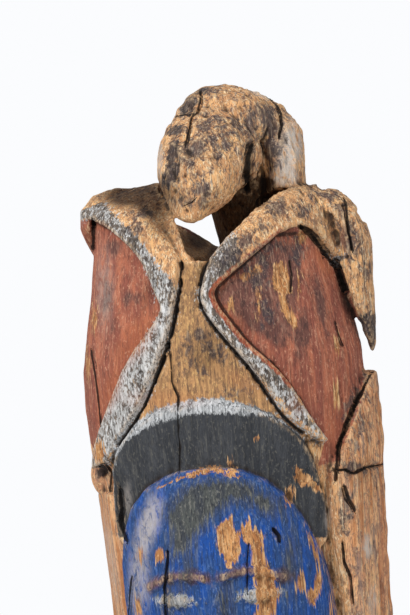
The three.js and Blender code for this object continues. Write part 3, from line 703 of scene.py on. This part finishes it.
# Pale film of old paint, and a painted highlight on the left of the blue face.
PALE_FILM_AND_HIGHLIGHTS = [
    (288, 148, 20, 42, 8, 1.1), (284, 178, 20, 12, 0, 1.0), (262, 92, 20, 8, 20, 0.8),
    (183, 112, 6, 8, 0, 0.6), (150, 520, 16, 44, 15, 0.6), (140, 575, 16, 60, 0, 0.5),
    (366, 545, 7, 18, 0, 0.8), (372, 600, 8, 24, 0, 0.5), (110, 560, 9, 70, -8, 0.35),
    (262, 120, 20, 22, 0, 0.35), (160, 160, 5, 30, 0, 0.5), (192, 152, 14, 8, 0, 0.45),
    (105, 290, 14, 60, 0, 0.25), (128, 498, 8, 24, 0, 0.3), (327, 515, 5, 24, 0, 0.5),
    (345, 500, 10, 30, 0, 0.25),
]
print(sum(len(spots) for spots in (PAINTED_SHADE_AND_DARK_TONE, ORANGE_TINT_AND_LIGHT, PALE_FILM_AND_HIGHLIGHTS)), "soft changes")

# %% [markdown]
# A number that is kept on every vertex is an attribute, and the material reads it by name. Distances are
# kept in centimetres and cut off at two, because only what lies near an edge matters.

# %% Numbers kept on the surface
FARTHEST = 2


def store(name, values):
    """Keeps one number on each vertex for the material to read."""
    attribute = figure.data.attributes.new(name, "FLOAT", "POINT")
    attribute.data.foreach_set("value", np.asarray(values, np.float32))


def store_distance(name, values):
    """Keeps a distance in mm, where 1 stands for 10 mm."""
    store(name, np.clip(values / 10, -FARTHEST, FARTHEST))


def hollowness(skin):
    """How hollow the surface is at each vertex: over zero in a crease, and under zero on an edge."""
    links = mesh_links()
    a, b, met = links
    count = len(met)
    rise = np.zeros(count)
    for k in range(3):
        along = skin.points[:, k]
        mean = (np.bincount(a, along[b], count) + np.bincount(b, along[a], count)) / met
        rise += (mean - along) * skin.normals[:, k]
    length = np.linalg.norm(skin.points[a] - skin.points[b], axis=1)
    mean_length = (np.bincount(a, length, count) + np.bincount(b, length, count)) / met
    return np.clip(soften(rise / mean_length**2, links, 4) * 12, -1, 1)


print("values are kept on", len(figure.data.vertices), "vertices")

# %% [markdown]
# Both limbs have a grey ground with white over it, of which only a band along the edge is left higher up.
# The right limb has a thin orange stripe beside its field, and its shoulder has lost all paint.

# %% Paint on the crossed limbs
LEFT_BAND = 17
RIGHT_BAND = 15
RIGHT_WHITE = 4.5
STRIPE_HALF_WIDTH = 3.4


def lay_limbs(skin, on):
    """The limbs' grey ground, the white that is left on it, and the stripe along the right limb."""
    d_left, d_right = skin.round_log(left_limb), skin.round_log(right_limb)
    outer_rim = path_distance(skin.s, skin.z, left_outer)
    upper = ramp(skin.z, drawn_z(170), drawn_z(205))
    left_grey = d_left * (1 - upper) + np.minimum(d_left, LEFT_BAND - outer_rim) * upper
    inner_rim = path_distance(skin.s, skin.z, right_inner)
    upper = ramp(skin.z, drawn_z(190), drawn_z(225))
    lower = 1 - ramp(skin.z, drawn_z(55), drawn_z(100))
    right_grey = d_right * (1 - upper) + np.minimum(d_right, RIGHT_BAND - inner_rim) * upper
    bare_top = ramp(skin.degrees, 12, 28) * upper
    right_grey -= 16 * bare_top + 5 * lower
    right_chalk = np.minimum(d_right, RIGHT_WHITE - inner_rim)
    right_chalk = np.maximum(right_chalk, np.minimum(d_right - 3, -0.6 - 2 * upper)) - 14 * bare_top
    store_distance("limb", np.maximum(left_grey, right_grey) + on)
    left_chalk = np.minimum(left_grey - 0.5, 1.5 - 2.4 * ramp(skin.z, drawn_z(110), drawn_z(210)))
    right_chalk = np.minimum(right_chalk, 0.3 - ramp(skin.z, drawn_z(150), drawn_z(190)))
    store_distance("chalk", np.maximum(left_chalk, right_chalk) + on)
    rows = [q for q in right_outer if drawn_z(66) < q[1] and q[0] < 41 * DEGREE]
    off_middle = np.abs(path_distance(skin.s, skin.z, rows) - 3)
    store_distance("stripe", np.minimum(STRIPE_HALF_WIDTH - off_middle, d_right + 1.5) + on)
    return d_left, d_right


print("the right limb's stripe is", 2 * STRIPE_HALF_WIDTH, "mm wide")

# %% [markdown]
# The dark line of a crack or seam is painted shade inside it. A crack is finer than the faces, so its dark
# line isn't painted on them but worked out from its distance, which is over zero on one side and under
# zero on the other and so stays even across a face.

# %% Painted shade in cracks and seams
SEAM_LINE = 1.15
NO_LINE = 9.0


def lay_cracks(skin):
    """Signed distances to the lines of painted shade, so that a line finer than the faces is still even.
    """
    wander = crack_wander(skin)
    uneven = 1 + 0.5 * noise(skin.points, 7, 16, 10) + 0.3 * noise(skin.points, 4, 6, 11)
    nearest = np.full(len(skin.x), NO_LINE)
    for path, width, _ in [*CRACKS.values(), *SEAMS.values()]:
        away = signed_path(skin.px + wander, skin.py, path) / (0.8 * width * uneven)
        nearest = np.where(np.abs(away) < np.abs(nearest), away, nearest)
    nearest = np.where(skin.facing > SEEN, nearest, NO_LINE)
    for edge in (left_inner, right_inner):
        away = signed_path(skin.s, skin.z, between(edge, 22, 207)) / (SEAM_LINE * uneven)
        away = np.where(skin.skin > 0.5, away, NO_LINE)
        nearest = np.where(np.abs(away) < np.abs(nearest), away, nearest)
    nearest = np.clip(nearest, -4, 4)
    store("crack", nearest)
    store("crack_away", np.abs(nearest))


print("the line of a seam is", 2 * SEAM_LINE, "mm wide")

# %% [markdown]
# The face follows the usual canon: eyes at half the head's height, a fifth of its width each and one
# apart, and brows a third of the way down the face. White was touched on the eyes, and a band over them
# was left free of blue.

# %% Eyes and brows
BROW_Z = FACE_TOP_Z - (FACE_TOP_Z - CHIN_Z) / 3
EYE_Z = (CHIN_Z + HAIR_TOP_Z) / 2
EYE_WIDTH = 2 * FACE_HALF_WIDTH / 5
FACE_FRONT = -60


def lay_eyes(skin):
    """White on both eyes."""
    x = skin.x - face_lean(skin.z)
    left, right = (spot(x, skin.z, side * EYE_WIDTH, EYE_Z, 0.46 * EYE_WIDTH, 6) for side in (-1, 1))
    return np.where(skin.y < FACE_FRONT, np.maximum(left, right), OUTSIDE)


def lay_brows(skin):
    """A band of brown along both brows, where the blue was left off."""
    x = np.abs(skin.x - face_lean(skin.z))
    steps = np.linspace(0, 1, 9)
    band = [(8 + 1.5 * EYE_WIDTH * t, BROW_Z + 7 * math.sin(math.pi * t) - 6 * t) for t in steps]
    return np.where(skin.y < FACE_FRONT, 4.5 - path_distance(x, skin.z, band), OUTSIDE)


print("eyes at", EYE_Z, "mm and brows at", round(BROW_Z), "mm")

# %% [markdown]
# The red fields end at the limbs, the hair and the face. The hair is black with a white upper edge, and
# the white wears out towards the right temple. The apron is ochre, and the sides stay bare.

# %% Fields, hair, face and belt
BOARD_DEGREES = 52
ARC_WIDTH = 4
ARC_SWELL = 9
BELT_HALF_HEIGHT = 14
BODY_TINT = -3.5


def lay_fields(skin, on, limbs, hair, face):
    """Red on the wings, a trace of it on the body, ochre on the apron, and the bare sides."""
    fields = np.maximum(skin.round_log(left_field), skin.round_log(right_field))
    fields = np.minimum(fields, -np.maximum(hair, face))
    fields = np.where((skin.lift > 7) & (skin.x > 60), OUTSIDE, fields)
    body = np.where(skin.z < CHIN_Z - 12, BODY_TINT + 2 * ramp(skin.z, 300, 700), OUTSIDE)
    store_distance("red", np.maximum(np.where(skin.z > 850, fields + on, OUTSIDE), body))
    apron = np.minimum(skin.round_log(apron_outline), -np.maximum(hair, limbs))
    store_distance("ochre", apron + on)
    aside = np.abs(skin.degrees) > BOARD_DEGREES
    store_distance("board", np.where(aside & (skin.z < LIMB_TIP_Z + 82), 6, OUTSIDE) + on)


def lay_head(skin, on, hair, face):
    """Black hair with its white arc, the blue face with its worn rim, and the belt."""
    arch_line = path_distance(skin.s, skin.z, hair_arch)
    thick = ARC_WIDTH + ARC_SWELL * ramp(skin.z, HAIR_TOP_Z - 60, HAIR_TOP_Z - 8)
    thick -= ARC_WIDTH * ramp(skin.x, 10, 60)
    arc = np.minimum(hair + 1, thick - arch_line) - 3 * ramp(skin.x, 20, 60)
    store_distance("arc", np.maximum(arc + on, lay_eyes(skin)))
    store_distance("black", np.minimum(hair, 1 - face) + on)
    belt = BELT_HALF_HEIGHT - np.abs(skin.z - BELT_Z)
    store_distance("belt", np.where(np.abs(skin.x) < 105, belt, OUTSIDE))
    store_distance("blue", face)
    rim = [(158, 487), (180, 477), (200, 469), (215, 466), (238, 476)]
    worn_rim = 2.6 - skin.line(rim) - 1.6 * ramp(-skin.px, -180, -160)
    store_distance("rim", np.where(np.abs(face) < 9, worn_rim, OUTSIDE))


print("the belt is", 2 * BELT_HALF_HEIGHT, "mm wide")

# %% [markdown]
# Soft changes add up where they overlap. The bird's neck lies in deep shade under its cape, so painted
# shade is laid on it, and the base is painted darker towards the bottom.

# %% All the colours


def soft_change(skin, spots):
    """The share of a soft change at each point."""
    total = np.zeros(len(skin.x))
    for *place, share in spots:
        total += share * ramp(spot(skin.px, skin.py, *place) / min(place[2:4]), 0, 0.8)
    return np.clip(total, 0, 1) * (skin.facing > 0.1)


def neck_shade(skin):
    """1 on the bird's neck, where shade is painted, and 0 elsewhere."""
    above = ramp(skin.z, BIRD_TOP_Z - 100, BIRD_TOP_Z - 70)
    neck = above * (1 - ramp(skin.z, BIRD_TOP_Z + 42, BIRD_TOP_Z + 62))
    return neck * ramp(skin.y, -40, -10) * (1 - ramp(np.abs(skin.x - 26), 40, 46)) * (skin.lift < 0)


def lay_colours():
    skin = Surface()
    on = np.where(skin.skin > 0.5, 0, OUTSIDE)
    limbs = np.maximum(*lay_limbs(skin, on))
    lay_cracks(skin)
    hair = skin.round_log(hair_arch)
    face = inside(skin.x, skin.z, face_outline)
    face = np.where((np.abs(skin.degrees) < 75) & (skin.y < -20), face, OUTSIDE)
    lay_fields(skin, on, limbs, hair, face)
    lay_head(skin, on, hair, face)
    for name, patches in (("bare", BARE), ("dark", DARK), ("smudge", SMUDGED), ("soot", SOOT)):
        store_distance(name, skin.patch(patches))
    store_distance("plum", np.maximum(skin.patch(PLUM), lay_brows(skin)))
    store("orange_tint_and_light", soft_change(skin, ORANGE_TINT_AND_LIGHT))
    store("pale_film_and_highlight", soft_change(skin, PALE_FILM_AND_HIGHLIGHTS))
    # Painted shade from the spots and on the neck; the base is painted darker towards the bottom.
    shade = np.maximum(soft_change(skin, PAINTED_SHADE_AND_DARK_TONE), neck_shade(skin))
    store("shade", np.maximum(shade, 0.5 * (1 - ramp(skin.z, 20, 140))))
    mottled = ramp(skin.z, BIRD_TOP_Z - 20, BIRD_TOP_Z) * (skin.normals @ BACK > -0.4)
    board = (skin.degrees > BOARD_DEGREES) * (skin.z > CHIN_Z - 10)
    mottled = np.maximum(0.75 * mottled, 0.55 * board)
    store("mottled", mottled)
    # How hollow the surface is, which lays painted shade in creases and the pale of worn edges.
    store("hollow", hollowness(skin))
    print(len(figure.data.attributes), "attributes on the figure")


lay_colours()

# %% [markdown]
# One material covers the whole carving, because the paint has sunk into the wood and both have worn
# together. Bare wood is tan with darker fibres, and greys where rain reached it. Each colour lies over it
# where its stored distance is above zero, less where fibres stand proud and have lost it first.
# Each coat has four tones: its base, a deeper one in streaks, a dark one in specks, and a light one.

# %% The material: weathered softwood with earth paint
COATS = {
    "wood": ("#F8C084", "#D69E6E", "#7A5E4E", "#FFE8BE"),
    "ochre": ("#CE9C6A", "#A67E58", "#604E42", "#E4B678"),
    "board": ("#F8BC88", "#D89E76", "#84665A", "#FFD8A0"),
    "red": ("#BE7357", "#985848", "#5E3D35", "#D69C7E"),
    "stripe": ("#BC5A38", "#974A34", "#5C352A", "#C97F5C"),
    "limb": ("#857A70", "#5E544E", "#34302E", "#B29C84"),
    "chalk": ("#D3D1CE", "#B4B2AF", "#5C5854", "#EEEDEC"),
    "black": ("#484A4E", "#3B3D41", "#2B2C2F", "#6A6862"),
    "arc": ("#D4D5D6", "#B2B4B5", "#55585A", "#EDEFF1"),
    "blue": ("#1E52A6", "#2E5088", "#222E46", "#6080B4"),
    "bare": ("#DCA066", "#B67A4A", "#6A4836", "#F2C894"),
    "dark": ("#4E4646", "#403A3C", "#2A2728", "#8C7C72"),
    "smudge": ("#625350", "#4E4447", "#332D30", "#B09A84"),
    "plum": ("#80574C", "#664640", "#473634", "#A07A68"),
    "soot": ("#565850", "#44474A", "#2E3034", "#807E74"),
    "mottle": ("#7C6A63", "#5E504E", "#3C3536", "#C4B4A6"),
}


def colour(code):
    """Linear colour from a hex code of screen colours."""
    parts = [int(code[i : i + 2], 16) / 255 for i in (1, 3, 5)]
    return [p / 12.92 if p <= 0.04045 else ((p + 0.055) / 1.055) ** 2.4 for p in parts] + [1]


wood = bpy.data.materials.new("weathered_softwood_with_earth_paint")
wood.use_nodes = True
tree = wood.node_tree
tree.nodes.clear()


def node(kind, sockets=(), output=0, **settings):
    """Adds a shader node with its settings and links, and hands back an output."""
    made = tree.nodes.new("ShaderNode" + kind)
    for name, value in settings.items():
        setattr(made, name, value)
    for name, value in sockets.items() if isinstance(sockets, dict) else enumerate(sockets):
        if isinstance(value, bpy.types.NodeSocket):
            tree.links.new(value, made.inputs[name])
        else:
            made.inputs[name].default_value = colour(value) if isinstance(value, str) else value
    return made.outputs[output] if made.outputs else made


place = node("TexCoord", output="Object")
print(len(COATS), "coats of four tones each")

# %% [markdown]
# Every pattern is noise in object space, stretched along the grain. Its size across the grain and along
# it is in real millimetres. Fibres of softwood are under a millimetre wide, which is finer than the
# picture shows, so they are drawn at 1 to 3 mm.

# %% Patterns of the grain and of the wear
PATTERNS = {
    "fine": (1.1, 22, 3, 0.6, 0),
    "fibres": (2.4, 60, 3, 0.6, 0),
    "bands": (9, 330, 3, 0.6, 0.3),
    "streaks": (8, 120, 3, 0.55, 0),
    "flakes": (4, 8, 4, 0.65, 0),
    "specks": (2.2, 4.5, 3, 0.65, 0),
    "blotches": (14, 26, 3, 0.6, 0),
    "lichen": (7, 11, 5, 0.7, 0.6),
}
pattern = {}
for name, (across, along, detail, rough, bent) in PATTERNS.items():
    scale = (1 / (across * MM), 1 / (across * MM), 1 / (along * MM))
    stretched = node("VectorMath", (place, scale), operation="MULTIPLY")
    sockets = {"Vector": stretched, "Scale": 1, "Detail": detail, "Roughness": rough, "Distortion": bent}
    pattern[name] = node("TexNoise", sockets, "Fac")
half_lichen = node("Math", (pattern["lichen"], 0.55), operation="MULTIPLY")
pattern["grains"] = node("Math", (pattern["specks"], 0.45, half_lichen), operation="MULTIPLY_ADD")
print(len(pattern), "patterns")

# %% [markdown]
# A coat is its base colour with deeper streaks, dark specks and light fibres over it. What is left of
# it lies where its stored distance is over zero, once the flakes have eaten into its edge.

# %% Coats of paint


def coat(name, speckled=0.7, grain=1):
    """A weathered coat in its four tones."""
    base, deep, dark, light = COATS[name]
    steps = [
        ("streaks", 0.42, 0.58, 1, deep),
        ("blotches", 0.5, 0.6, 0.6, deep),
        ("fibres", 0.54, 0.66, 0.8 * grain, light),
        ("flakes", 0.53, 0.61, speckled, dark),
        ("fine", 0.54, 0.63, 0.85 * grain, dark),
        ("specks", 0.57, 0.65, 0.7, light),
    ]
    made = base
    for texture, low, high, most, over in steps:
        share = node("MapRange", (pattern[texture], low, high, 0, most))
        made = node("Mix", {0: share, 6: made, 7: over}, 2, data_type="RGBA")
    return made


def left_of(name, ragged, texture="flakes", soft=0.08, most=1, spare=0):
    """How much of a coat is left at each place."""
    away = node("Attribute", output="Fac", attribute_name=name)
    eaten = node("Math", (pattern[texture], 4 * ragged, away), operation="MULTIPLY_ADD")
    edge = 2 * ragged - spare
    return node("MapRange", (eaten, edge - soft, edge + soft, 0, most))


def worn(name, texture, low, high, least=0, most=1):
    """A stored share, broken up by a pattern."""
    share = node("Attribute", output="Fac", attribute_name=name)
    broken = node("MapRange", (pattern[texture], low, high, least, most))
    return node("Math", (share, broken), operation="MULTIPLY")


def banded(low, high):
    """Long bands in the bare board, where sap and rain have coloured the year rings."""
    bands = node("MapRange", (pattern["bands"], low, high, 0, 0.72))
    return node("Math", (left_of("board", 0.15), bands), operation="MULTIPLY")


print(len(tree.nodes), "nodes before the coats are laid")

# %% [markdown]
# The list runs in the order in which things came to the wood: paint first, then soot and rain, and bare
# patches where paint has flaked. Painted shade follows, then the pale of worn edges, and last painted
# shade in hollows and in cracks.

# %% The coats laid over one another
hollow = node("Attribute", output="Fac", attribute_name="hollow")
crack = node("Attribute", output="Fac", attribute_name="crack")
crack_away = node("Attribute", output="Fac", attribute_name="crack_away")
edge_wear = node("MapRange", (hollow, -0.7, -0.25, 0.55, 0))
edge_grain = node("MapRange", (pattern["specks"], 0.4, 0.6, 0, 1))
crack_line = node("Math", (crack,), operation="ABSOLUTE")
crack_line = node("MapRange", (crack_line, 0.7, 1.15, 0.92, 0))
crack_near = node("MapRange", (crack_away, 2, 2.6, 1, 0))
LAYERS = [
    (left_of("board", 0.15), coat("board", 0.5)),
    (banded(0.52, 0.6), "#B87444"),
    (banded(0.44, 0.36), "#8A766E"),
    (worn("mottled", "lichen", 0.51, 0.57), coat("mottle", 0.5)),
    (left_of("ochre", 0.15), coat("ochre", 0.55, 0.75)),
    (left_of("red", 0.12), coat("red", 0.4, 0.55)),
    (left_of("limb", 0.35), coat("limb")),
    (left_of("chalk", 1.5, "grains", 0.14, spare=-0.02), coat("chalk", 0.35)),
    (left_of("stripe", 0.2), coat("stripe", 0.4)),
    (left_of("black", 0.12), coat("black", 0.3, 0.6)),
    (left_of("belt", 0.4), coat("black", 0.3)),
    (left_of("blue", 0.1), coat("blue", 0.4, 0.65)),
    (left_of("arc", 0.55, soft=0.12, spare=0.05), coat("arc", 0.8)),
    (left_of("plum", 0.5, "blotches", 0.3, 0.85), coat("plum")),
    (left_of("soot", 0.6, "fibres", 0.7, 0.96), coat("soot", 0.4)),
    (left_of("rim", 0.5), coat("bare")),
    # Orange tint of the red, and painted light on the left field.
    (worn("orange_tint_and_light", "fibres", 0.36, 0.6, 0.2, 0.62), "#BE6C42"),
    # Pale film of old paint, and a painted highlight on the left of the face.
    (worn("pale_film_and_highlight", "lichen", 0.34, 0.54), "#DCD0C4"),
    (left_of("bare", 0.4, "fibres"), coat("bare", 0.5)),
    (left_of("smudge", 1.1, "lichen", 0.3, 0.85, 0.1), coat("smudge")),
    (left_of("dark", 0.5, "lichen", 0.14, 0.92), coat("dark")),
    # Painted shade with some darker tone of the wood, and the base darker towards the bottom.
    (worn("shade", "flakes", 0.35, 0.6, 1, 0.82), "#33261F", "MULTIPLY"),
    (node("Math", (edge_wear, edge_grain), operation="MULTIPLY"), "#E0BE94"),
    # Painted shade in hollows and creases.
    (node("MapRange", (hollow, 0.14, 0.7, 0, 0.85)), "#2A211C"),
    # Painted shade inside cracks and seams.
    (node("Math", (crack_line, crack_near), operation="MULTIPLY"), "#16110E"),
]
surface = coat("wood")
for share, over, *way in LAYERS:
    kind = way[0] if way else "MIX"
    surface = node("Mix", {0: share, 6: surface, 7: over}, 2, data_type="RGBA", blend_type=kind)
print(len(LAYERS), "layers over the bare wood")

# %% [markdown]
# Weathered wood and lean earth paint have next to no gloss, so the roughness is high and the specular
# low. The fibres stand proud of the softer wood between them, which rain has washed out.

# %% Relief and sheen
relief = [("fine", 0.5), ("fibres", 0.8), ("flakes", 0.6), ("specks", 0.5)]
height = 0
for texture, share in relief:
    height = node("Math", (pattern[texture], share, height), operation="MULTIPLY_ADD")
bump = node("Bump", {"Height": height, "Distance": 2.6 * MM, "Strength": 1})
sockets = {"Base Color": surface, "Roughness": 0.85, "Normal": bump, "Specular IOR Level": 0.25}
node("OutputMaterial", {"Surface": node("BsdfPrincipled", sockets)})
figure.data.materials.clear()
figure.data.materials.append(wood)
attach(figure, "root")
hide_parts("ancestor_figure")
print(len(tree.nodes), "nodes in the figure's material")

# %% [markdown]
# The figure stands on plain, pale paper. The floor is staging, and no part of the object.

# %% Floor
FLOOR_RADIUS = 1.6
bpy.ops.mesh.primitive_circle_add(vertices=96, radius=FLOOR_RADIUS, fill_type="NGON", location=(0, 0, 0))
floor = bpy.context.object
floor.name = "floor"
paper = bpy.data.materials.new("pale_studio_paper")
paper.use_nodes = True
paper.node_tree.nodes["Principled BSDF"].inputs["Base Color"].default_value = colour("#E4E5E6")
paper.node_tree.nodes["Principled BSDF"].inputs["Roughness"].default_value = 0.9
floor.data.materials.append(paper)
print("the floor is", 2 * FLOOR_RADIUS, "m across")

# %% [markdown]
# An even, bright surround fills the shadows, as white walls would. It is held back a little as a light,
# so that a large soft lamp from the upper left can model the carving. A weak one helps from the right.

# %% Light
SURROUND_LIGHT = 0.62
AIM = np.array([0, 0, 1.2])
world = bpy.data.worlds.new("bright_surround")
bpy.context.scene.world = world
world.use_nodes = True
tree = world.node_tree
tree.nodes.clear()
strength = node("MapRange", (node("LightPath", output="Is Camera Ray"), 0, 1, SURROUND_LIGHT, 1))
node("OutputWorld", {"Surface": node("Background", {"Color": "#FBFCFE", "Strength": strength})})


def lamp(name, place, power, size):
    """A large soft lamp that looks at the bird."""
    data = bpy.data.lights.new(name, "AREA")
    data.energy = power
    data.size = size
    made = bpy.data.objects.new(name, data)
    made.location = place
    aim = AIM - np.array(place)
    tilt = math.atan2(math.hypot(aim[0], aim[1]), -aim[2])
    made.rotation_euler = (tilt, 0, math.atan2(aim[1], aim[0]) - math.pi / 2)
    bpy.context.collection.objects.link(made)
    print(name, "of", power, "W and", size, "m")


lamp("soft_key", (-1.2, -2.2, 3.1), 62, 1.0)
lamp("soft_fill", (2.2, -2.0, 1.8), 14, 1.4)

# %% [markdown]
# The camera stands far off with a long lens, so that the figure keeps its true proportions. It is turned
# as the photographer's was, and its picture takes in 0.6 m of the figure's height.

# %% Camera
DISTANCE = 8.0
PICTURE_TALL = 0.615
SENSOR = 36
TARGET_ASIDE = -0.0132
TARGET_HEIGHT = 1.2586
camera_data = bpy.data.cameras.new("camera")
camera_data.sensor_width = SENSOR
camera_data.lens = SENSOR * DISTANCE / PICTURE_TALL
camera_data.clip_end = 100
camera = bpy.data.objects.new("camera", camera_data)
target = RIGHT * TARGET_ASIDE + np.array([0, 0, TARGET_HEIGHT])
side = math.cos(ROLL) * RIGHT - math.sin(ROLL) * UP
top = math.sin(ROLL) * RIGHT + math.cos(ROLL) * UP
matrix = np.eye(4)
matrix[:3, 0], matrix[:3, 1], matrix[:3, 2] = side, top, BACK
matrix[:3, 3] = target + BACK * DISTANCE
camera.matrix_world = [list(row) for row in matrix.T]
bpy.context.collection.objects.link(camera)
bpy.context.scene.camera = camera
bpy.context.scene.view_settings.view_transform = "Standard"
print("the lens is", round(camera_data.lens), "mm long")
